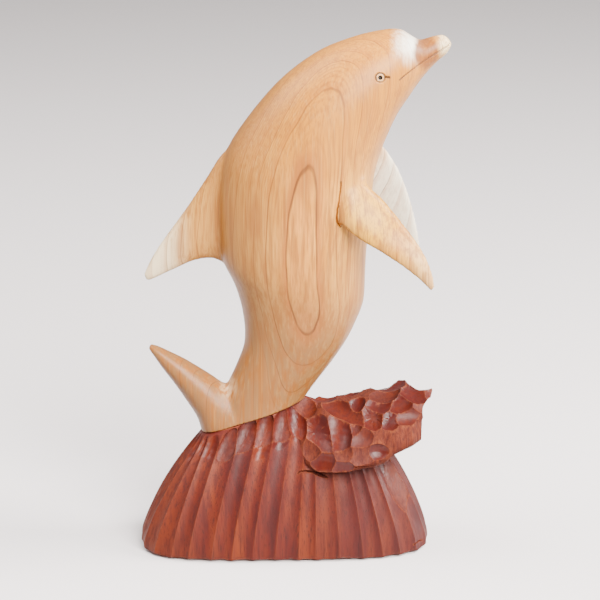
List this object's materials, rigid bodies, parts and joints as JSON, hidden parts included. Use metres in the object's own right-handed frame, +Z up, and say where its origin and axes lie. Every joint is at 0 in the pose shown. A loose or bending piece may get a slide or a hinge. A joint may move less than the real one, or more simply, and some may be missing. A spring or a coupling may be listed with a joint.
{
  "type": "dolphin sculpture",
  "caption": "Carved wooden dolphin leaping from a fluted, red-stained wave that serves as its base; a shelf or table ornament.",
  "frame": {"origin": "middle of the wave's flat underside, on the ground", "axes": "+Z up, +X towards the dolphin's beak, +Y towards its left flank, the far one"},
  "size_m": [0.1471, 0.0713, 0.2492],
  "materials": {
    "pale_wood": "pale wood, sanded and satin waxed",
    "red_wood": "gouge-cut wood, stained red-brown, satin"
  },
  "bodies": {
    "root": {"dolphin": "pale_wood", "wave": "red_wood"}
  },
  "joints": []
}
